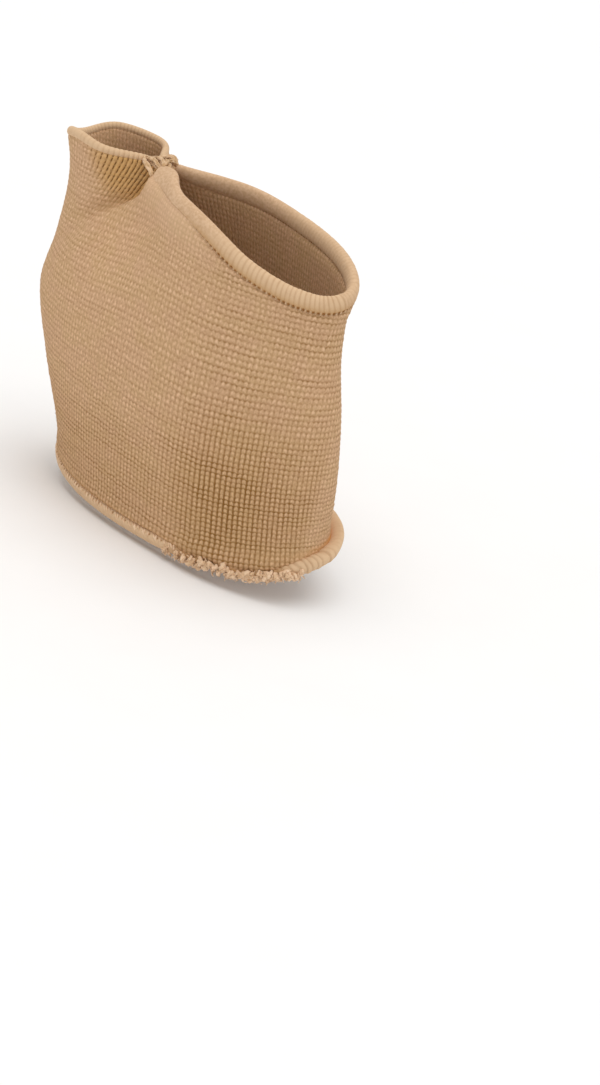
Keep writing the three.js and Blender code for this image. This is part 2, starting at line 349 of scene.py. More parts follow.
def folded(points):
    aside, down, way = fold_place(points)
    strength = np.interp(down, *FOLD_SHARE.T) * smooth((-points[..., 1] - 1) / 3)
    swell = bell((aside - FOLD_CREST) / np.where(aside < FOLD_CREST, FOLD_STEEP, FOLD_GENTLE)) * strength
    outward = FOLD_OUT * swell - FOLD_IN * bell((aside - FOLD_GROOVE) / FOLD_GROOVE_HALF) * strength
    over = FOLD_OVER * swell
    return points + np.stack([way[..., 1] * over, -outward, -way[..., 0] * over], -1)


# %% [markdown]
# ## Grids that become cloth
# A knitted tube is a sheet of rows and columns, so a primitive grid is the natural start. Its points
# are moved onto the form row by row, its edges are merged where the cloth closes on itself, and its UV
# map counts the stitches, which lets the finish follow the knit.

# %% Grid helper
def finish_mesh(piece, name):
    piece.name = piece.data.name = name
    bpy.ops.object.mode_set(mode="EDIT")
    bpy.ops.mesh.select_all(action="SELECT")
    bpy.ops.mesh.remove_doubles(threshold=1e-7)
    bpy.ops.mesh.normals_make_consistent(inside=False)
    bpy.ops.object.mode_set(mode="OBJECT")
    bpy.ops.object.shade_smooth()
    piece.data.calc_loop_triangles()
    print(name, "has", len(piece.data.loop_triangles), "triangles")
    return piece


def cloth_grid(name, points, counts, **marks):
    """A grid moved to points[row, column] in millimetres, with UVs and named values per point."""
    rows, columns = points.shape[:2]
    bpy.ops.object.select_all(action="DESELECT")
    bpy.ops.mesh.primitive_grid_add(x_subdivisions=columns - 1, y_subdivisions=rows - 1, size=1)
    piece = bpy.context.object
    mesh = piece.data
    flat = np.empty(len(mesh.vertices) * 3, np.float32)
    mesh.vertices.foreach_get("co", flat)
    flat = flat.reshape(-1, 3)
    column = np.rint((flat[:, 0] + 0.5) * (columns - 1)).astype(int)
    row = np.rint((flat[:, 1] + 0.5) * (rows - 1)).astype(int)
    mesh.vertices.foreach_set("co", (points[row, column] * MM).astype(np.float32).ravel())
    corner = np.empty(len(mesh.loops), np.int32)
    mesh.loops.foreach_get("vertex_index", corner)
    mesh.uv_layers.active.data.foreach_set("uv", counts[row, column][corner].astype(np.float32).ravel())
    for mark, values in marks.items():
        layer = mesh.attributes.new(mark, "FLOAT", "POINT")
        layer.data.foreach_set("value", values[row, column].astype(np.float32))
    return finish_mesh(piece, name)


# %% [markdown]
# ## The knitted wall
# The wall is a fine rib knit: beads of yarn in straight columns, the wales, with narrow dark grooves between
# them and softer ones between the rows. The rows are nearly level and the hems cut across them, so the
# grid's rows are too, and those past an edge are pressed onto it and merged. The pitch changes slowly,
# because the tube is stretched most over the outer side of the sole, where the rows also rise. Near
# the toe edge of the loop the wales lean to the web and open into a ladder.

# %% Rows and wales
ROW_PITCH = np.array([[-52, 1.15], [-25, 1.18], [-18, 1.22], [-7, 1.35], [3, 1.3], [14, 1.32],
                      [28, 1.3], [34, 1.2], [44, 1.2]])
WALE_PITCH = np.array([[0, 1.42], [0.05, 1.45], [0.1, 1.22], [0.16, 1.1], [0.4, 1.2], [0.66, 1.04],
                       [0.8, 1.04], [0.9, 1.08], [0.96, 1.2], [1, 1.42]])
ROW_RISE = np.array([[0, 4.4], [90, 3.5], [180, 1.8], [250, 0.6], [265, 0], [277, -1], [284, -1.2],
                     [293, -0.6], [308, 1], [328, 3.1]])
WEB_LIFT = np.array([[0, 2.6], [60, 1.6], [150, 0], [200, 0], [246, 0], [257, 1.8], [268, 3.5],
                     [290, 3.6], [330, 3.2]])
WALE_STEPS, ROW_STEPS = (0.0, 0.17, 0.83), (0.0, 0.5)
FIRST_WALE_X, FIRST_WALE_LEAN = 14.0, -0.045
EVEN_TO = 0.2
FAN_LEVEL, FAN_OVER, WEB_CROWDING = 12.0, 15.0, 0.3
WEB_LEAN, LEAN_LEVEL, LEAN_OVER = 4.5, 24.0, 15.0
LOOP_SINK, LOOP_SIDE, LOOP_HALF = 1.5, 200.0, 28.0
STRAY, LOW_STRAY, LOW_LEVEL = 0.035, 0.05, -4.0


def count_along(pitch, length):
    """Fine keys of a pitch table, and the number of stitches up to each of them."""
    keys = np.linspace(pitch[0, 0], pitch[-1, 0], 2001)
    middle = np.interp((keys[1:] + keys[:-1]) / 2, *pitch.T)
    return keys, np.r_[0, np.cumsum(np.diff(keys) * length / middle)]


level_keys, level_counts = count_along(ROW_PITCH, 1.0)
share_keys, share_counts = count_along(WALE_PITCH, girth)
ROWS, WALES = int(level_counts[-1]), int(round(share_counts[-1]))
row_at = np.r_[(np.arange(ROWS)[:, None] + np.array(ROW_STEPS)).ravel(), ROWS]
wale_at = np.r_[(np.arange(WALES)[:, None] + np.array(WALE_STEPS)).ravel(), WALES]
levels = np.interp(row_at, level_counts, level_keys)
wale_shares = np.interp(wale_at * share_counts[-1] / WALES, share_counts, share_keys)
print("knit has", WALES, "wales and", ROWS, "rows")


# %% Where each wale runs, and where the hems cut it
def level_path(z):
    """Fine angles round one level from a straight line down the sole, lengths there, and two landmarks."""
    inner_x, outer_x = along(SECTIONS, 1, z), along(SECTIONS, 2, z)

    def sole_turn(x):
        return math.acos(power((2 * x - inner_x - outer_x) / (outer_x - inner_x), 1 / ROUNDNESS))

    fine = np.linspace(0, 2 * math.pi, ROUND_STEPS) - sole_turn(FIRST_WALE_X + FIRST_WALE_LEAN * z)
    length = run_along(section_point(fine, z))
    return fine, length, np.interp([math.pi, 2 * math.pi - sole_turn(WEB_X)], fine, length)


_, fan_length, fan_marks = level_path(FAN_LEVEL)
loop_shares = np.r_[0, EVEN_TO, 1 - (fan_length[-1] - fan_marks) / girth, 1]


def level_angles(z):
    """Angles of all columns on one level row."""
    fine, length, marks = level_path(z)
    if z < FAN_LEVEL:
        marks = length[-1] - fan_length[-1] + fan_marks
    marks = marks + [0, WEB_LEAN * smooth((z - LEAN_LEVEL) / LEAN_OVER)]
    to_web = np.clip((wale_shares - loop_shares[2]) / (loop_shares[3] - loop_shares[2]), 0, 1)
    crowded = WEB_CROWDING * smooth((z - FAN_LEVEL) / FAN_OVER) * to_web * (1 - to_web)
    places = np.interp(wale_shares, loop_shares, np.r_[0, EVEN_TO * girth, marks, length[-1]])
    return np.interp(places + crowded * (marks[1] - marks[0]), length, fine)


free_angles = np.stack([level_angles(z) for z in levels])
free_x = section_point(free_angles, levels[:, None] + 0 * free_angles)[..., 0]
heel_cut = round_edge(HEEL_EDGE, free_angles) + HEEL_HEIGHT + GAP
toe_cut = round_edge(TOE_EDGE, free_angles) - toe_hem_height(free_x) - GAP


def crossing(heights):
    """The level at which each column meets an edge."""
    return np.array([np.interp(0, levels - heights[:, k], levels) for k in range(heights.shape[1])])


def on_columns(z):
    """Angles of the columns at levels z[row, column]."""
    return np.stack([np.interp(z[:, k], levels, free_angles[:, k]) for k in range(z.shape[1])], 1)


def over_grid(values):
    """Values of the stitches spread evenly over the grid between them."""
    r, w = np.floor(row_at).astype(int), np.floor(wale_at).astype(int)
    r_next, w_next = np.minimum(r + 1, ROWS), (w + 1) % WALES
    w = w % WALES
    down = lerp(values[r], values[r_next], (row_at % 1)[:, None])
    return lerp(down[:, w], down[:, w_next], wale_at % 1)


z_heel, z_toe = crossing(heel_cut), crossing(toe_cut)
random = np.random.default_rng(7)
stray = random.normal(0, STRAY, (ROWS + 1, WALES)) + random.normal(0, STRAY, (1, WALES))
low_rows = smooth((LOW_LEVEL - np.interp(np.arange(ROWS + 1), level_counts, level_keys)) / 12)[:, None]
stray = stray + low_rows * (random.normal(0, LOW_STRAY, (ROWS + 1, WALES))
                            + random.normal(0, 1.2 * LOW_STRAY, (1, WALES)))
sideways = random.normal(0, STRAY, (ROWS + 1, WALES))
row_level = levels[:, None]
straight = row_level + 1.3 * over_grid(stray)
z_free = straight
for _ in range(3):
    turned = on_columns(z_free)
    rise = round_edge(ROW_RISE, turned) * (1 - 0.45 * smooth((row_level + 6) / 20))
    sink = LOOP_SINK * bell((np.degrees(turned) % 360 - LOOP_SIDE) / LOOP_HALF)
    lift = round_edge(WEB_LIFT, turned) * smooth((row_level + 10) / 32)
    z_free = straight + rise - sink * smooth((row_level - 8) / 14) + lift
z_outer = np.clip(z_free, z_heel, z_toe)
uncut = np.isclose(z_free, z_outer).astype(float)
toe_angles, heel_angles = on_columns(z_toe[None])[0], on_columns(z_heel[None])[0]


# %% Cloth surface with its flare and fold
FLARE_HEIGHT = 5.5
TURN_STEP, RISE_STEP = 0.003, 0.15


def cloth_at(angle, z, fold=1.0):
    height = z - round_edge(HEEL_EDGE, angle) - HEEL_HEIGHT - GAP
    point = flared(section_point(angle, z), angle, height / FLARE_HEIGHT)
    return lerp(point, folded(point), fold)


def cloth_normal(angle, z, fold=1.0):
    round_way = cloth_at(angle + TURN_STEP, z, fold) - cloth_at(angle - TURN_STEP, z, fold)
    rise = cloth_at(angle, z + RISE_STEP, fold) - cloth_at(angle, z - RISE_STEP, fold)
    return unit(np.cross(round_way, rise))


def closed(values):
    """Makes the last column the same as the first, so that the tube shuts exactly."""
    values[:, -1] = values[:, 0]
    return values


step = np.gradient(wale_at)
angles = on_columns(z_outer)
angles = angles + uncut * over_grid(sideways) * np.gradient(angles, axis=1) / step
outer, out = closed(cloth_at(angles, z_outer)), closed(cloth_normal(angles, z_outer))
print("wall from", round(float(z_heel.min()), 1), "to", round(float(z_toe.max()), 1), "mm")

# %% Where the knit is calm, stretched or laddered
LADDER_EDGE = np.array([[-37, 40], [-34.5, 37.5], [-32, 35], [-28, 31.5], [-24, 30], [-20, 30]])
SEWN_HEEL = (-155, -74)
STRETCH_X, STRETCH_Z = 29, -25
x, y, z = np.moveaxis(outer, -1, 0)
aside, down, _ = fold_place(cloth_at(angles, z_outer, 0.0))
sole_side = smooth((-y - 1) / 4)
x_toe, y_toe = outer[-1, :, 0], outer[-1, :, 1]
main_part = smooth((aside[-1] - 0.3) / 1.6)
nose = main_part * smooth((14 - x_toe) / 16) * smooth((-y_toe - 1) / 4)
ladder_edge = np.interp(x, *LADDER_EDGE.T)
ladder = smooth((x + 42) / 17) * smooth((0.6 - aside) / 0.8) * sole_side
ladder = ladder * smooth((z - ladder_edge + 6.5) / 10)
from_hem = np.hypot(x + 15, z - 36)
calm = np.maximum(0.75 * bell(from_hem / 6.5), 0.85 * nose * bell((z_toe - z_outer) / 4.5))
calm = calm * smooth((aside - 0.3) / 1.5) * sole_side
# Painted shade along the fold's crease, on the loop side where the fold hangs over. The same mark also eases
# the ladder grooves there.
crease = bell((aside + 0.6) / 1.6) * np.interp(down, *FOLD_SHARE.T) * sole_side
# Painted shade in the slit between the wall and the curled lip, and faintly along the sewn part of the heel
# edge.
slit = np.maximum(lip_at(angles) * smooth((2.8 - z_outer + z_heel) / 1.6),
                  0.12 * between(angles, *SEWN_HEEL, 20) * bell((z_outer - z_heel) / 0.7))
stretch = bell((x - STRETCH_X) / np.where(x < STRETCH_X, 16, 21)) * bell((z - STRETCH_Z) / 20)
least = np.maximum(0.28 * smooth((-12 - z) / 16), 0.07 * smooth((x - 24) / 14))
stretch = np.maximum(stretch, least) * sole_side
rows = 0.23 + 0.2 * smooth((x - 6) / 16) * smooth((z + 12) / 10)
rows = rows + 0.15 * smooth((-4 - z) / 15) + 0.2 * ladder

# %% Stitches raised on the wall
WALE_GROOVE, ROW_GROOVE, LADDER_GROOVE = 0.09, 0.075, 0.32
on_wale = np.isclose(wale_at % 1, 0)[None, :].astype(float)
on_row = np.isclose(row_at % 1, 0)[:, None] * uncut
wale_depth = on_wale * (WALE_GROOVE * (0.45 + 2.2 * stretch) + LADDER_GROOVE * ladder * (1 - 0.8 * crease))
row_depth = on_row * ROW_GROOVE * (2.4 * rows + stretch) * (1 - 0.4 * ladder)
depth = np.hypot(wale_depth, row_depth) * (1 - calm)
stitch = random.normal(0, 0.03, (ROWS + 1, WALES + 1))
stitch[:, WALES] = stitch[:, 0]
lift = stitch[np.floor(row_at).astype(int)[:, None], np.floor(wale_at).astype(int)[None, :]]
bead = lift * (1 - on_wale) * (1 - on_row) * uncut

# %% The wall's ends, raised to lie flush with the hems
RAGGED_FROM, RAGGED_TO, HEEL_REACH = -74, -22, 4
ragged_part = between(heel_angles, RAGGED_FROM, RAGGED_TO, 26)
no_lip = 1 - lip_at(heel_angles)
toe_flush, toe_cover = lerp(0.2, 0.65, main_part) + 0.6 * nose, lerp(1.1, 0.9, main_part) + 1.3 * nose
heel_flush, heel_cover = (0.45 + 0.5 * ragged_part) * no_lip, 0.3 + 1.9 * ragged_part * no_lip
toe_reach = lerp(4, 8, nose)
flush = toe_flush * smooth((z_outer - z_toe + toe_reach) / toe_reach)
flush = flush + heel_flush * smooth((z_heel + HEEL_REACH - z_outer) / HEEL_REACH)
unfolded_out = closed(cloth_normal(angles, z_outer, 0.0))
relief = closed(outer + out * (bead - depth)[..., None] + unfolded_out * flush[..., None])
print("deepest groove", round(float(depth.max()), 2), "mm")


# %% Close the wall: toe end, inner face, heel end
SEAM_TUCK, INNER_ROWS = 0.9, 33


def seam_edge(points, angles, share, direction, length):
    """A row carried on past one end of the wall, into the hem or over it, following the heel edge's curl."""
    _, _, rise, outward = wall_frame(angles, share)
    swing = math.radians(LIP_TURN) * lip_at(angles)[:, None] * (share == 0)
    free = rise * direction * np.cos(swing) + outward * np.sin(swing)
    return points + free * length[:, None] - outward * (0.25 * SEAM_TUCK / length)[:, None] * np.cos(swing)


z_inner = lerp(z_toe, z_heel, np.linspace(0, 1, INNER_ROWS)[:, None])
angles = on_columns(z_inner)
inner = closed(cloth_at(angles, z_inner) - cloth_normal(angles, z_inner) * (WALL - 0.1 * on_wale[..., None]))
inner_tuck = np.full(len(wale_at), SEAM_TUCK)
toe_plain = cloth_at(toe_angles, z_toe, 0.0) + relief[-1] - outer[-1]
toe_tuck = folded(seam_edge(toe_plain, toe_angles, 1.0, 1, toe_cover))
heel_tuck = seam_edge(relief[0], heel_angles, 0.0, -1, heel_cover)
toe_tuck_inner = seam_edge(inner[0], toe_angles, 1.0, 1, inner_tuck) + unfolded_out[-1] * 0.5
heel_tuck_inner = seam_edge(inner[-1], heel_angles, 0.0, -1, inner_tuck) + unfolded_out[0] * 0.5
rings = closed(np.concatenate([heel_tuck[None], relief, toe_tuck[None], toe_tuck_inner[None], inner,
                               heel_tuck_inner[None], heel_tuck[None]]))


def over_rings(values, inner_values):
    """Marks of the two faces put in the order of the rows that close the wall."""
    return np.concatenate([values[:1], values, values[-1:], inner_values[:1], inner_values,
                           inner_values[-1:], values[:1]])


cut_rows = [[np.interp(cut[k], z_free[:, k], row_at) for k in range(len(wale_at))] for cut in (z_heel, z_toe)]
row_counts = over_rings(np.clip(row_at[:, None], *np.array(cut_rows)),
                        np.interp(z_inner, level_keys, level_counts))
row_counts[[0, -1, -2]] -= heel_cover / ROW_PITCH[0, 1]
row_counts[len(row_at) + 1:len(row_at) + 3] += toe_cover / ROW_PITCH[-1, 1]
counts = np.stack(np.broadcast_arrays(wale_at[None, :], row_counts), -1)
outer_marks = {"ladder": ladder, "calm": calm, "stretch": stretch, "crease": crease, "slit": slit}
nothing = np.zeros_like(z_inner)
knit_marks = {name: over_rings(values, nothing) for name, values in outer_marks.items()}
sleeve = cloth_grid("knit_sleeve", rings, counts, **knit_marks, rows=over_rings(rows, nothing + 0.2))


# %% [markdown]
# ## The sewn hems
# Both toe openings and the heel edge end in the fabric rolled over itself and sewn down with thread. A
# roll is a grid bent into a tube: its columns follow the edge and continue the wales, its rows go round
# the section, and each wale is a soft ridge. Needle holes run along the lower side of the toe hem.

# %% Roll helper
ROLL_STEPS, ROLL_SIDES, SEWN_SIDES = 6, 26, 44


def wale_range(edge_angles, start, end):
    """Wale counts along an edge from one angle to another, in fine steps, and the angles there."""
    turned = np.concatenate([edge_angles[:-1] + turn for turn in (-2 * math.pi, 0, 2 * math.pi)])
    counted = np.concatenate([wale_at[:-1] + turn for turn in (-WALES, 0, WALES)])
    first, last = np.interp([start, end], turned, counted)
    steps = np.arange(math.ceil(first * ROLL_STEPS), math.floor(last * ROLL_STEPS) + 1) / ROLL_STEPS
    steps = np.r_[first, steps[1:-1], last]
    return steps, np.interp(steps, counted, turned)


def no_swing(angles):
    return np.zeros_like(angles)


def roll_points(roll, angles, turns, ridge):
    """Points [turn, angle] of a roll laid along an edge of the wall, its free edge kept in place."""
    share, size, outward_shift, swing_at = roll
    direction = 1 if share > 0.5 else -1
    at, round_way, rise, outward = wall_frame(angles, share)
    height, thick, room = (value[:, None] for value in size(at[:, 0], angles))
    swing = swing_at(angles)[:, None]
    free = rise * direction * np.cos(swing) + outward * np.sin(swing)
    face = np.cross(round_way, free) * direction
    centre = at + outward * (outward_shift - WALL / 2) + outward * np.sin(swing) * WALL / 2
    centre = centre + free * (GAP + room - height / 2)
    across = np.cos(turns)[:, None, None] * (thick / 2 + ridge[..., None])
    rise_part = np.sin(turns)[:, None, None] * (height / 2 + ridge[..., None])
    return centre + face * across + free * direction * rise_part


def roll_place(roll, angle, turn, lift):
    """One place on a roll, or over it by lift."""
    return roll_points(roll, np.array([angle]), np.array([turn]), np.full((1, 1), lift))[0, 0]


def capped(points):
    """Closes the open ends of a roll with two smaller rings and a point."""
    middle = points.mean(0, keepdims=True)
    way_in, way_out = unit(middle[:, :1] - middle[:, 1:2]), unit(middle[:, -1:] - middle[:, -2:-1])
    ends = ((0, 0.75), (0.55, 0.6), (0.85, 0.3))
    start = [middle[:, :1] + (points[:, :1] - middle[:, :1]) * s + way_in * d for s, d in ends]
    end = [middle[:, -1:] + (points[:, -1:] - middle[:, -1:]) * s + way_out * d for s, d in ends[::-1]]
    return np.concatenate([*start, points, *end], 1)


def repeated(values):
    """Marks carried to the three rings that close each end of a roll."""
    return np.concatenate([values[:, :1]] * 3 + [values] + [values[:, -1:]] * 3, 1)


def roll_counts(wraps, turns):
    return np.stack(np.broadcast_arrays(wraps, turns[:, None] / (2 * math.pi)), -1)


# %% Toe hem
SEAM_TURN = math.radians(-46)
HEIGHT_AT_TACK, HEM_THICK, HEM_TAPER = 4.2, 3.0, 0.15
NOSE_RISE, NOSE_X, NOSE_REACH, FOLD_CLEAR = 1.3, -14.0, 6.0, 3.8


def toe_roll_size(x, angles):
    room = toe_hem_height(x)
    away = np.abs(x - WEB_X)
    grown = smooth(away / TACK_END["reach"])
    blunt = lerp(1 - HEM_TAPER, 1, smooth((away - TACK_END["clear"]) / 4))
    raised = NOSE_RISE * bell((x - NOSE_X) / NOSE_REACH) * smooth(-2 * np.sin(angles))
    height = blunt * lerp(HEIGHT_AT_TACK, TOE_HEM["height"], grown) + raised
    return height, blunt * HEM_THICK + 0.2 * raised, room + raised


TOE_ROLL = (1.0, toe_roll_size, TOE_HEM["outward"], no_swing)
toe_start, toe_finish = edge_angle(WEB_X + FOLD_CLEAR, -1), edge_angle(WEB_X + TACK_END["clear"], 1)
wrap_at, angles = wale_range(toe_angles, toe_start, toe_finish)
turns = np.linspace(0, 2 * math.pi, SEWN_SIDES + 1)
from_ends = np.minimum(wrap_at - wrap_at[0], wrap_at[-1] - wrap_at)
sewn = smooth((from_ends - 15) / 12)
ribbed = smooth((from_ends - 24) / 14) * np.where(np.sin(angles) > 0, 0.55, 1)
slant = 0.3 * np.sin(turns)[:, None] + 0.1 * np.sin(wrap_at * 0.9)
wave = np.cos(2 * math.pi * (wrap_at[None, :] + 0.5 + slant))
from_seam = (turns[:, None] - SEAM_TURN + math.pi) % (2 * math.pi) - math.pi
seam = bell(from_seam / math.radians(17)) * sewn
from_inner_seam = (turns[:, None] + SEAM_TURN) % (2 * math.pi) - math.pi
seam = seam + 0.8 * bell(from_inner_seam / math.radians(15)) * sewn * (np.sin(angles) > 0)
each = random.normal(0, 1, WALES * 3)[np.floor(wrap_at).astype(int) + WALES]
# Where painted shade darkens the needle holes along the seam; the same mark sinks them as dents.
hole = seam * (0.3 + 0.55 * (0.5 + 0.5 * np.cos(2 * math.pi * wrap_at))) * np.clip(1 + 0.2 * each, 0.5, 1.2)
ridge = (0.022 + 0.012 * each) * wave * ribbed + 0.03 * each * ribbed - 0.28 * hole
points = folded(roll_points(TOE_ROLL, angles, turns, ridge))
wrap, plain = (np.broadcast_to(value, hole.shape) for value in ((0.7 + 0.12 * each) * ribbed, 1 - ribbed))
toe_hem = cloth_grid("toe_hem_roll", capped(points), repeated(roll_counts(wrap_at[None, :] + slant, turns)),
                     hole=repeated(hole), wrap=repeated(wrap), plain=repeated(plain),
                     shade=repeated(bell(from_seam / math.radians(40)) * sewn))
toe_wraps, toe_sewn, toe_hem_angles = wrap_at, sewn, angles


# %% Big-toe hem
LOOP_THICK, LOOP_SIDES, CORNER_ANGLE, CORNER_HALF = 1.75, 18, 205, 30


def loop_roll_size(x, angles):
    height = toe_hem_height(x)
    return height, np.full_like(x, LOOP_THICK), height


LOOP_ROLL = (1.0, loop_roll_size, BIG_TOE_HEM["outward"], no_swing)
loop_start = edge_angle(WEB_X - TACK_END["clear"], 1)
loop_finish = edge_angle(WEB_X - TACK_END["clear"], -1) + 2 * math.pi
wrap_at, angles = wale_range(toe_angles, loop_start, loop_finish)
turns = np.linspace(0, 2 * math.pi, LOOP_SIDES + 1)
corner = bell((np.degrees(angles) - CORNER_ANGLE) / CORNER_HALF)
slot = np.interp(wall_point(angles, 1.0)[:, 0], [-36, -29], [0, 1]) * (np.degrees(angles) > 190)
groove = (0.5 + 0.5 * np.cos(2 * math.pi * wrap_at)) ** 2
ridge = 0.22 * corner - (0.03 + 0.1 * slot) * groove * (1 - corner)
ridge = np.broadcast_to(ridge, (len(turns), len(angles)))
points = folded(roll_points(LOOP_ROLL, angles, turns, ridge))
# Painted shade in the grooves and slots of the loop's rim, stronger on the underside of the roll, as if lit
# from above.
lower = 0.5 - 0.5 * np.sin(turns)[:, None]
hole = groove * (0.12 + 0.6 * slot) * (1 - corner) * (0.35 + 0.65 * lower)
big_toe_hem = cloth_grid("big_toe_hem_roll", capped(points), repeated(roll_counts(wrap_at[None, :], turns)),
                         hole=repeated(hole), wrap=repeated(np.broadcast_to(0.6 * (1 - corner), hole.shape)))


# %% Heel hem
LIP_LOOK_ANGLE, LIP_LOOK_SPREAD, LIP_LOOK_TURN = 32.0, 36.0, 115.0
LIP_THICK, LIP_HEIGHT, LIP_ROOM = 2.2, 4.2, 2.7


def lip_look(angles):
    return np.exp(-np.abs(away_from(angles, LIP_LOOK_ANGLE) / LIP_LOOK_SPREAD) ** 3)


def heel_size(x, angles):
    lip = lip_look(angles)
    thick = lerp(HEEL_THICK_INNER, HEEL_THICK_OUTER, smooth((x + 40) / 80))
    return lerp(HEEL_HEIGHT, LIP_HEIGHT, lip), lerp(thick, LIP_THICK, lip), lerp(HEEL_HEIGHT, LIP_ROOM, lip)


def lip_swing(angles):
    return math.radians(LIP_LOOK_TURN) * lip_look(angles)


HEEL_ROLL = (0.0, heel_size, HEEL_OUTWARD, lip_swing)
HEEL_SEAM_TURN = 0.75
wrap_at, angles = wale_range(heel_angles, heel_angles[0], heel_angles[0] + 2 * math.pi)
turns = np.linspace(0, 2 * math.pi, ROLL_SIDES + 1)
ragged = between(angles, RAGGED_FROM, RAGGED_TO, 10)
wrapped = np.maximum(between(angles, RAGGED_TO - 6, 8, 10), 0.4 * between(angles, 70, 190, 30))
patchy = sum(np.sin(2 * math.pi * k * wrap_at / WALES + k) for k in (9, 16, 23, 37)) / 4
slant = 0.5 * np.cos(turns - 2.4)[:, None]
uneven = 0.8 * wrap_at + 0.22 * np.sin(0.9 * wrap_at) + 0.1 * np.sin(2.3 * wrap_at + 1)
cord_at = uneven[None, :] + slant
swell = random.normal(0, 1, WALES * 3)[np.floor(cord_at).astype(int) + WALES]
cord = np.abs(cord_at % 1 - 0.5) * 2
ridge = (0.1 + 0.09 * swell - 0.26 * cord ** 3) * wrapped + 0.07 * patchy * (0.5 + ragged) - 0.25 * ragged
upper = bell(((turns[:, None] - HEEL_SEAM_TURN + math.pi) % (2 * math.pi) - math.pi) / 0.25)
picked = random.uniform(0.2, 0.75, WALES * 3)[np.floor(wrap_at).astype(int) + WALES]
dents = 0.5 - 0.5 * np.cos(2 * math.pi * wrap_at)
# Where painted shade darkens the needle holes along the sewn part; the same mark sinks them as dents.
hole = np.minimum(1.2 * upper * dents * picked, 1) * between(angles, *SEWN_HEEL, 20)
# Painted shade on the roll's inner face behind the curled lip, in the slit.
behind_lip = lip_look(angles) * bell((turns[:, None] - 2.0) / 0.6)
ridge = ridge - 0.25 * hole
points = closed(roll_points(HEEL_ROLL, angles, turns, ridge))
heel_seam = angles[np.isclose(wrap_at % 1, 0) & (between(angles, *SEWN_HEEL, 20) > 0.5)]
heel_hem = cloth_grid("heel_hem_roll", points, roll_counts(cord_at, turns), hole=hole,
                      wrap=np.broadcast_to(0.08 + 0.6 * wrapped, hole.shape),
                      ragged=np.broadcast_to(ragged, hole.shape), slit=behind_lip)


# %% [markdown]
# ## Threads
# Loose yarn is drawn as curves with a round bevel, many splines in one object, and then made a mesh. Each
# spline point has its own radius, so a thread can taper. One helper draws all of them.

# %% Thread helper
def threads(name, paths, radii, roundness=2):
    """One mesh of many threads: paths in millimetres, and the radius of each of their points."""
    curve = bpy.data.curves.new(name, "CURVE")
    curve.dimensions = "3D"
    curve.bevel_depth = MM
    curve.bevel_resolution = roundness
    curve.resolution_u = 1
    curve.use_fill_caps = True
    for path, radius in zip(paths, radii):
        spline = curve.splines.new("POLY")
        spline.points.add(len(path) - 1)
        spline.points.foreach_set("co", np.c_[np.asarray(path) * MM, np.ones(len(path))].ravel())
        spline.points.foreach_set("radius", np.broadcast_to(radius, len(path)).astype(np.float32))
    piece = bpy.data.objects.new(name, curve)
    bpy.context.scene.collection.objects.link(piece)
    bpy.ops.object.select_all(action="DESELECT")
    bpy.context.view_layer.objects.active = piece
    piece.select_set(True)
    bpy.ops.object.convert(target="MESH")
    return finish_mesh(bpy.context.object, name)


# %% Heel tufts
tuft_paths, tuft_radii = [], []
for angle in heel_seam:
    lean = random.normal(0.006, 0.004)
    path = [roll_place(HEEL_ROLL, angle + lean * k, HEEL_SEAM_TURN + 0.5 - 0.35 * k, lift)
            for k, lift in enumerate((-0.12, -0.12 + 0.1, -0.12 + 0.1, -0.12))]
    tuft_paths.append(bent(path, 6))
    tuft_radii.append(np.array([0.12, 0.2, 0.24, 0.24, 0.2, 0.1]) * random.uniform(0.7, 1.2))
for angle in np.radians(np.arange(RAGGED_FROM - 4, RAGGED_TO + 10, 0.95)):
    angle = angle + random.normal(0, 0.012)
    size = random.uniform(0.6, 1.35) * lerp(0.4, 1, smooth((math.degrees(angle) - RAGGED_FROM + 5) / 15))
    turn = random.uniform(-1.2, 0.35)
    heart = roll_place(HEEL_ROLL, angle, turn, -0.05)
    tip = roll_place(HEEL_ROLL, angle, turn - 0.25, 0.2 + 0.4 * size)
    for _ in range(5):
        foot, end = heart + random.normal(0, 0.3 * size, 3), tip + random.normal(0, 0.34 * size, 3)
        bow = (foot + end) / 2 + random.normal(0, 0.15, 3)
        tuft_paths.append(bent([foot, bow, end], 8))
        tuft_radii.append(random.uniform(0.36, 0.5) * size * np.sin(np.linspace(0.6, 2.8, 8)) ** 0.7)
    for _ in range(7):
        foot = lerp(heart, tip, random.random()) + random.normal(0, 0.3 * size, 3)
        drift = random.normal(0, 0.25, 3) + unit(tip - heart) * 0.25
        bow = foot + drift + random.normal(0, 0.15, 3)
        tuft_paths.append(bent([foot, bow, foot + drift * 1.3 + random.normal(0, 0.2, 3)], 6))
        tuft_radii.append(np.linspace(0.14, 0.07, 6) * random.uniform(0.8, 1.3))
heel_tufts = threads("heel_tufts", tuft_paths, tuft_radii, 1)

# %% Thread nub at the lip
NUB_ANGLE, NUB_TURN = math.radians(52), -1.4
foot = roll_place(HEEL_ROLL, NUB_ANGLE, NUB_TURN, -0.2)
tip = roll_place(HEEL_ROLL, NUB_ANGLE + 0.02, NUB_TURN, 1.0)
middle = (foot + tip) / 2
nub_paths = [bent([foot, middle + [0.2, 0.1, 0.3], tip], 7),
             bent([foot + [0.3, 0, 0.2], middle + [0.5, 0, 0.2], tip + [0.2, 0, 0.3]], 7)]
nub = threads("lip_nub", nub_paths, [np.linspace(0.35, 0.2, 7), np.linspace(0.3, 0.15, 7)])

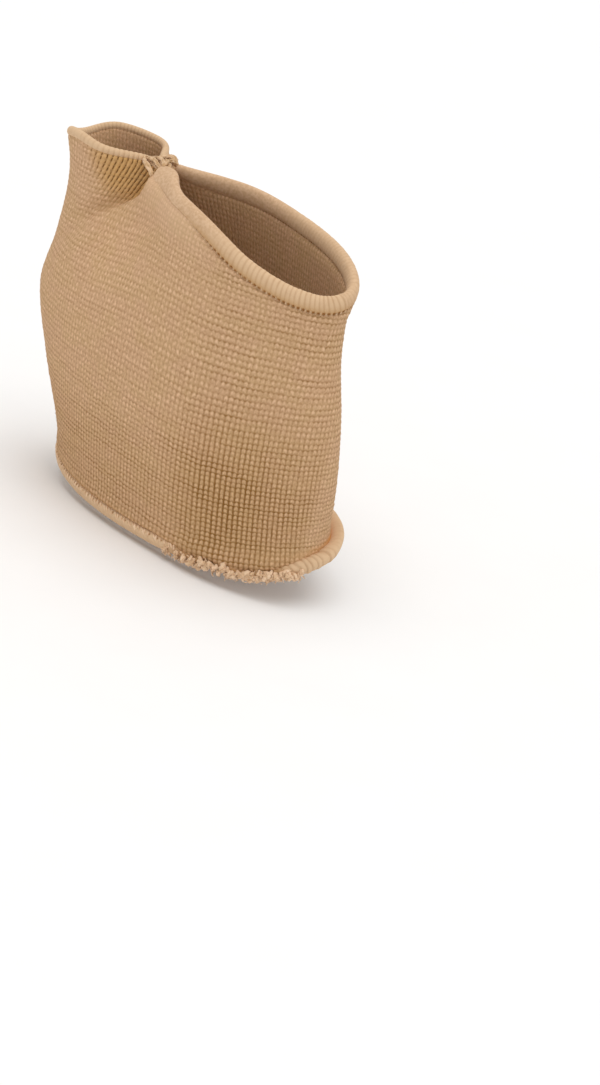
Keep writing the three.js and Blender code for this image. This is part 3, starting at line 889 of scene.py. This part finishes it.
# %% Stitches of the toe seam
stitch_paths, stitch_radii = [], []
between_holes = np.isclose(toe_wraps % 1, 0.5) & (toe_sewn > 0.4)
for angle, held in zip(toe_hem_angles[between_holes], toe_sewn[between_holes]):
    places = [roll_place(TOE_ROLL, angle, SEAM_TURN + turn, lift)
              for turn, lift in ((0.30, -0.15), (0, -0.06), (-0.32, -0.1))]
    stitch_paths.append(folded(bent(places, 6)) + random.normal(0, 0.04, 3))
    stitch_radii.append(np.array([0.12, 0.22, 0.25, 0.25, 0.2, 0.12]) * held)
toe_stitches = threads("toe_seam_stitches", stitch_paths, stitch_radii, 1)

# %% Web tack
# Strands of the tack, each by a few points: across the web, over the edge, and in short loops.
TACK_STRANDS = (
    (0.58, [(-25.7, -4.4, 39.2), (-23.5, -6.4, 39.1), (-21.0, -7.3, 38.4), (-19.5, -7.6, 37.6),
            (-18.9, -6.8, 36.6)]),
    (0.46, [(-26.0, -4.0, 39.2), (-23.0, -5.2, 40.0), (-20.6, -5.8, 40.0), (-18.6, -6.0, 39.2)]),
    (0.42, [(-25.4, -3.4, 39.0), (-21.2, -4.4, 40.7), (-18.4, -5.6, 40.6), (-17.6, -6.2, 39.4)]),
    (0.48, [(-18.2, -6.4, 38.6), (-17.9, -5.6, 40.4), (-18.4, -4.2, 40.6), (-20.0, -2.8, 39.6)]),
    (0.44, [(-19.6, -2.6, 39.4), (-17.8, -4.2, 40.2), (-16.6, -5.4, 39.9), (-15.6, -6.3, 38.6)]),
    (0.42, [(-24.6, -4.4, 38.4), (-21.8, -5.4, 39.0), (-19.6, -5.8, 38.6), (-18.8, -5.4, 37.2)]),
    (0.50, [(-25.0, 2.6, 38.4), (-23.2, 2.2, 39.7), (-21.2, 1.6, 39.5), (-19.6, 1.2, 38.2)]),
    (0.46, [(-24.6, 1.6, 38.8), (-23.0, 0.6, 40.0), (-21.4, 0.4, 40.1), (-19.8, 1.0, 38.8)]),
    (0.46, [(-24.4, -3.6, 38.4), (-23.2, -1.2, 39.8), (-22.2, 0.8, 40.0), (-21.4, 2.0, 38.8)]),
    (0.46, [(-20.6, -4.4, 38.6), (-20.8, -2.0, 39.8), (-20.4, 0.0, 39.6), (-19.8, 1.4, 38.4)]),
    (0.66, [(-24.0, 1.6, 38.5), (-22.1, 1.0, 38.9), (-20.4, 1.0, 38.3), (-19.2, 1.0, 37.3)]),
    (0.56, [(-23.4, 0.8, 37.8), (-21.8, 0.2, 38.3), (-20.2, 0.0, 37.9), (-19.0, 0.4, 36.8)]),
)
TACK_POINTS, PLY_TURNS, PLY_OFFSET, PLY_SHARE = 18, (0.0, 2.1, 4.2), 0.4, 0.62
tack_paths, tack_radii = [], []
taper = 0.55 + 0.45 * np.sin(np.linspace(0.25, 2.9, TACK_POINTS))
for radius, points in TACK_STRANDS:
    path = bent(points, TACK_POINTS)
    for turn in PLY_TURNS:
        twist = np.linspace(0, 2.5, TACK_POINTS) + turn
        ply = np.stack([np.cos(twist), np.sin(twist), np.sin(twist)], -1) * PLY_OFFSET * radius
        tack_paths.append(path + ply + random.normal(0, 0.05, (TACK_POINTS, 3)))
        tack_radii.append(radius * PLY_SHARE * taper)
    fray = path[random.integers(4, 14)]
    bow = fray + random.normal(0, 0.35, 3)
    tack_paths.append(bent([fray, bow, lerp(fray, bow, 0.6) + random.normal(0, 0.35, 3)], TACK_POINTS))
    tack_radii.append(np.linspace(0.16, 0.08, TACK_POINTS))
web_tack = threads("web_tack_strands", tack_paths, tack_radii)

# %% [markdown]
# ## The gel pad
# The pad is a moulded oval of soft gel, thick in the middle and thin at its edge, fixed to the inside of the
# sole. A grid bent into rings gives it one smooth closed skin, with its two poles merged.

# %% Gel pad
PAD_HALF_WIDTH, PAD_HALF_LENGTH, PAD_THICK, PAD_EDGE = 30.0, 25.0, 3.2, 0.6
PAD_SEAT = WALL + 1.5 * GAP


def sole_place(x, z):
    inner_x, outer_x = along(SECTIONS, 1, z), along(SECTIONS, 2, z)
    across = (2 * x - inner_x - outer_x) / (outer_x - inner_x)
    return section_point(-np.arccos(power(across, 1 / ROUNDNESS)), z)


def pad_point(x, z, inward):
    step = 0.5
    across = sole_place(x + step, z) - sole_place(x - step, z)
    lengthwise = sole_place(x, z + step) - sole_place(x, z - step)
    return sole_place(x, z) - unit(np.cross(across, lengthwise)) * inward[..., None]


reach = np.sin(np.linspace(0, math.pi / 2, 15))
radius = np.r_[reach, reach[-2::-1]][:, None]
seat = np.r_[np.zeros(15), np.ones(14)][:, None]
turn = np.linspace(0, 2 * math.pi, 97)[None, :]
shrink = lerp(1.0, 0.985, seat)
inward = PAD_SEAT + seat * lerp(PAD_THICK, PAD_EDGE, radius ** 4)
points = pad_point(PAD_HALF_WIDTH * radius * shrink * np.cos(turn),
                   PAD_HALF_LENGTH * radius * shrink * np.sin(turn), inward + 0 * turn)
counts = np.stack(np.broadcast_arrays(radius * np.cos(turn), radius * np.sin(turn)), -1)
gel_pad = cloth_grid("gel_pad_moulding", points, counts)


# %% [markdown]
# ## Finishes
# A finish is a small graph of nodes. The class below wraps one socket, so a sum or product in Python adds
# the Math node for it, and its one method makes every other node. The knit reads the stitch counts from
# the UV map; the threads read the roll's own counts.

# %% Socket class
class Wire:
    """A socket of a material. Arithmetic on wires adds Math nodes; node() adds any other."""

    def __init__(self, tree, socket=None):
        self.tree, self.socket = tree, socket

    def node(self, kind, settings, sockets, output=0):
        made = self.tree.nodes.new("ShaderNode" + kind)
        for name, value in settings.items():
            setattr(made, name, value)
        for key, value in sockets.items():
            if isinstance(value, Wire):
                self.tree.links.new(value.socket, made.inputs[key])
            else:
                made.inputs[key].default_value = value
        return Wire(self.tree, made.outputs[output])

    def math(self, operation, *values):
        return self.node("Math", {"operation": operation}, dict(enumerate(values)))

    def __add__(self, other):
        return self.math("ADD", self, other)

    def __sub__(self, other):
        return self.math("SUBTRACT", self, other)

    def __rsub__(self, other):
        return self.math("SUBTRACT", other, self)

    def __mul__(self, other):
        return self.math("MULTIPLY", self, other)

    __radd__ = __add__
    __rmul__ = __mul__

    def step(self, low, high):
        """A smooth step of this value from 0 at low to 1 at high."""
        return self.node("MapRange", {"interpolation_type": "SMOOTHSTEP"},
                         {"Value": self, "From Min": low, "From Max": high})

    def mix(self, start, end):
        """Colours mixed by this value."""
        return self.node("Mix", {"data_type": "RGBA"}, {0: self, 6: start, 7: end}, 2)


def colour(red, green, blue):
    return (red, green, blue, 1.0)


def new_finish(name, roughness, sheen):
    material = bpy.data.materials.new(name)
    material.use_nodes = True
    shader = material.node_tree.nodes["Principled BSDF"]
    shader.inputs["Roughness"].default_value = roughness
    shader.inputs["Sheen Weight"].default_value = sheen
    shader.inputs["Sheen Roughness"].default_value = 0.6
    shader.inputs["Specular IOR Level"].default_value = 0.25
    return material, shader, Wire(material.node_tree)


def attach(wire, shader, socket):
    wire.tree.links.new(wire.socket, shader.inputs[socket])


BUMP_DISTANCE = 0.0002


def bumped(height, shader, strength):
    """Fine relief of a finish."""
    sockets = {"Strength": strength, "Distance": BUMP_DISTANCE, "Height": height}
    attach(height.node("Bump", {}, sockets), shader, "Normal")


def noise(start, scale, detail=2.0):
    """Soft noise in the piece's own space."""
    body = start.node("TexCoord", {}, {}, 3)
    return start.node("TexNoise", {}, {"Vector": body, "Scale": scale, "Detail": detail})


def marks_of(start, *names):
    """Values that the points of a piece carry, by name."""
    return {name: start.node("Attribute", {"attribute_name": name}, {}, 2) for name in names}


# %% Knit finish
# Painted highlight colour for the lit crown of each bead.
YARN_HIGHLIGHT = colour(0.800, 0.531, 0.331)
YARN_PINK = colour(0.618, 0.388, 0.230)
YARN_OCHRE = colour(0.602, 0.390, 0.212)
# Dark colour of the painted shade in grooves and creases. The knit's fine dark grain is mixed toward it too.
GROOVE_SHADE_AND_GRAIN = colour(0.255, 0.120, 0.028)
# Painted shade seen in the open slots of the ladder.
SLOT_SHADE = colour(0.170, 0.070, 0.012)
LADDER_YARN = colour(0.610, 0.350, 0.112)
# Warm painted shade of the slit behind the curled lip.
SLIT_SHADE = colour(0.680, 0.300, 0.075)
SMOOTH_CLOTH = colour(0.665, 0.448, 0.278)

knit, shader, start = new_finish("knit_yarn", 0.95, 0.0)
place = start.node("UVMap", {}, {})
wale, row = (start.node("SeparateXYZ", {}, {0: place}, k) for k in (0, 1))
mark = marks_of(start, "ladder", "calm", "stretch", "crease", "slit", "rows")


def from_middle(count):
    """0 in the middle of a stitch and 1 in the groove beside it."""
    return count.math("ABSOLUTE", count.math("FRACT", count) - 0.5) * 2


def dice(across, along_wale):
    """A random number for each stitch."""
    whole = {k: count.math("FLOOR", count) for k, count in enumerate((across, along_wale))}
    spot = across.node("CombineXYZ", {}, whole)
    return across.node("TexWhiteNoise", {"noise_dimensions": "2D"}, {"Vector": spot})


def clouds(across, along_wale):
    """Soft noise over the knit, between 0.3 and 0.7 for the most part."""
    spot = across.node("CombineXYZ", {}, {0: across, 1: along_wale})
    return across.node("TexNoise", {"noise_dimensions": "2D"}, {"Vector": spot, "Scale": 1.0, "Detail": 2.0})


LEG_BEND, CAP_RISE, SPECKLE = 0.2, 0.16, 0.29
wale_edge = from_middle(wale)
row_edge = from_middle(row + wale_edge * LEG_BEND)
chance, groove_chance, row_chance = dice(wale, row), dice(wale + 0.5, row), dice(wale, row + 0.5)
light = 1 - mark["calm"]
speckle = clouds(wale * 2.1, row * 1.7).step(0.36, 0.68)
# Painted shade in the grooves between wales and between rows. It is stronger where the knit is stretched and
# where the rows show, and varies softly and at random from groove to groove.
wale_shade_vary = clouds(wale * 0.45, row * 0.12).step(0.3, 0.7) * 0.5 + groove_chance * 0.5
row_shade_vary = clouds(wale * 0.07, row * 0.5).step(0.3, 0.7) * 0.6 + row_chance * 0.4
wale_groove_shade = wale_edge.step(0.38, 0.95) * (0.05 + mark["stretch"] * 0.84) * (wale_shade_vary * 0.7 + 0.65)
row_groove_shade = row_edge.step(0.4, 1.0) * (mark["rows"] + mark["stretch"] * 0.38) * (row_shade_vary * 1.3 + 0.3)
grain = 1 - (1 - speckle) * SPECKLE * (1 - mark["calm"] * 0.5)
open_part = (1 - wale_groove_shade * light) * (1 - row_groove_shade * (wale_edge * 0.5 + 0.7) * light) * grain
tone = clouds(wale * 0.12, row * 0.18).step(0.35, 0.65).mix(YARN_OCHRE, YARN_PINK)
# Painted highlight: each bead's crown is set a little towards its upper end and mixed toward a lighter yarn
# colour, as if lit from above.
cap_edge = from_middle(row + wale_edge * LEG_BEND - CAP_RISE)
crown = (1 - wale_edge * wale_edge) * (1 - cap_edge * cap_edge)
tone = (crown * (chance * 0.6 + 0.35)).mix(tone, YARN_HIGHLIGHT)
tone = (mark["stretch"] * 0.3).mix(tone, LADDER_YARN)
# Painted shade: the grooves and the fine grain are mixed toward the dark groove colour.
tone = open_part.mix(GROOVE_SHADE_AND_GRAIN, tone)
tone = (mark["calm"] * 0.4).mix(tone, SMOOTH_CLOTH)
# Painted shade in the fold's crease.
tone = (mark["crease"] * 0.45).mix(tone, GROOVE_SHADE_AND_GRAIN)
tone = (mark["ladder"].step(0.05, 1.0) * open_part * 0.85).mix(tone, LADDER_YARN)
# Painted shade in the ladder: the grooves between its wales are darkened into slots, broken at rows and at
# random.
offset_row = row + wale.math("FRACT", wale.math("FLOOR", wale + 0.5) * 0.5)
short_break = (from_middle(offset_row) - mark["ladder"] * 0.6).step(0.08, 0.42) * (row_chance * 0.5 + 0.5)
long_break = from_middle(offset_row * 0.5 + groove_chance * 0.2).step(0.62, 0.92)
slot_shade = wale_edge.step(0.64, 0.93) * (1 - short_break) * (1 - long_break * 0.8)
tone = (slot_shade * mark["ladder"].step(0.05, 0.75)).mix(tone, SLOT_SHADE)
# Painted shade in the slit behind the lip.
tone = (mark["slit"] * 0.85).mix(tone, SLIT_SHADE)
attach(tone, shader, "Base Color")
height = crown * light * (mark["stretch"] * 0.7 + mark["rows"] * 0.8)
bumped(height + noise(start, 2600.0) * 0.25 + speckle * 0.2, shader, 0.9)

# %% Thread finish
HEM_TOP = colour(0.690, 0.480, 0.295)
# Dark colour of the painted shade in the ditches between wraps. Soft random mottle is mixed toward it too.
HEM_DITCH_SHADE_AND_MOTTLE = colour(0.475, 0.285, 0.155)
# Painted shade in the needle holes and in the slots of the loop's rim.
HOLE_SHADE = colour(0.300, 0.130, 0.035)
HEM_SHADE = colour(0.480, 0.270, 0.105)
PLAIN_DEEP, PLAIN_PALE = colour(0.560, 0.355, 0.205), colour(0.690, 0.472, 0.300)
RAGGED = colour(0.430, 0.230, 0.090)

hem_thread, shader, start = new_finish("hem_thread", 0.95, 0.0)
place = start.node("UVMap", {}, {})
wrap_count = start.node("SeparateXYZ", {}, {0: place})
mark = marks_of(start, "hole", "wrap", "ragged", "shade", "slit", "plain")
# Painted shade in the ditches between a hem's wraps, with soft random mottle.
ditch_shade = from_middle(wrap_count).step(0.35, 1.0) * (mark["wrap"] * 0.6 + 0.08)
tone = (ditch_shade + (noise(start, 500.0, 4.0) - 0.5) * 0.8).mix(HEM_TOP, HEM_DITCH_SHADE_AND_MOTTLE)
fibres = noise(start, 1500.0, 3.0).step(0.3, 0.7)
tone = (mark["plain"] * 0.85).mix(tone, fibres.mix(PLAIN_DEEP, PLAIN_PALE))
tone = (mark["shade"] * 0.8).mix(tone, HEM_SHADE)
tone = (mark["ragged"] * 0.8).mix(tone, RAGGED)
# Painted shade in the needle holes and the loop rim's slots.
tone = mark["hole"].step(0.2, 0.8).mix(tone, HOLE_SHADE)
# Painted shade in the slit behind the lip.
tone = (mark["slit"] * 0.8).mix(tone, SLIT_SHADE)
attach(tone, shader, "Base Color")
bumped(noise(start, 3200.0) * 0.6 + (1 - from_middle(wrap_count)) * mark["wrap"] * 0.5, shader, 0.5)

# %% Loose thread finish
def loose_finish(name, deep, pale):
    material, shader, start = new_finish(name, 0.9, 0.2)
    attach(noise(start, 700.0, 3.0).step(0.3, 0.7).mix(deep, pale), shader, "Base Color")
    bumped(noise(start, 3600.0), shader, 0.4)
    return material


tuft_thread = loose_finish("tuft_thread", colour(0.68, 0.45, 0.26), colour(0.90, 0.66, 0.45))
seam_thread = loose_finish("seam_thread", colour(0.48, 0.29, 0.14), colour(0.60, 0.39, 0.22))
tack_thread = loose_finish("tack_thread", colour(0.50, 0.30, 0.13), colour(0.74, 0.51, 0.31))

# %% Gel finish
gel, shader, start = new_finish("gel", 0.38, 0.0)
mottle = noise(start, 60.0)
attach(mottle.mix(colour(0.70, 0.58, 0.42), colour(0.78, 0.67, 0.52)), shader, "Base Color")
attach(mottle * 0.12 + 0.32, shader, "Roughness")
bumped(noise(start, 900.0), shader, 0.15)

# %% Floor finish
paper, shader, start = new_finish("studio_floor", 0.9, 0.0)
attach(noise(start, 40.0).mix(colour(0.90, 0.90, 0.90), colour(0.93, 0.93, 0.93)), shader, "Base Color")
floor.data.materials.append(paper)

# %% [markdown]
# ## Put the looks on the frame
# Each piece rides on the one body and stands for its CAD node where it has one.

# %% Ride and replace
PIECES = (
    (sleeve, knit, "knit", "sleeve"),
    (toe_hem, hem_thread, "hem_thread", "toe_hem"),
    (big_toe_hem, hem_thread, "hem_thread", "big_toe_hem"),
    (heel_hem, hem_thread, "hem_thread", "heel_hem"),
    (web_tack, tack_thread, "tack_thread", "web_tack"),
    (gel_pad, gel, "gel", "gel_pad"),
    (toe_stitches, seam_thread, "hem_thread", None),
    (heel_tufts, tuft_thread, "hem_thread", None),
    (nub, seam_thread, "hem_thread", None),
)
for piece, finish, slot, node in PIECES:
    piece.data.materials.clear()
    piece.data.materials.append(finish)
    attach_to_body(piece, "root")
    if node:
        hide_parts(node)

# %% Sizes
LOOKS_BOX = [list(corner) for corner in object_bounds()]
for name, box in (("CAD", CAD_BOX), ("looks", LOOKS_BOX)):
    print(name, "box in mm:", [[round(v / MM, 1) for v in corner] for corner in box])
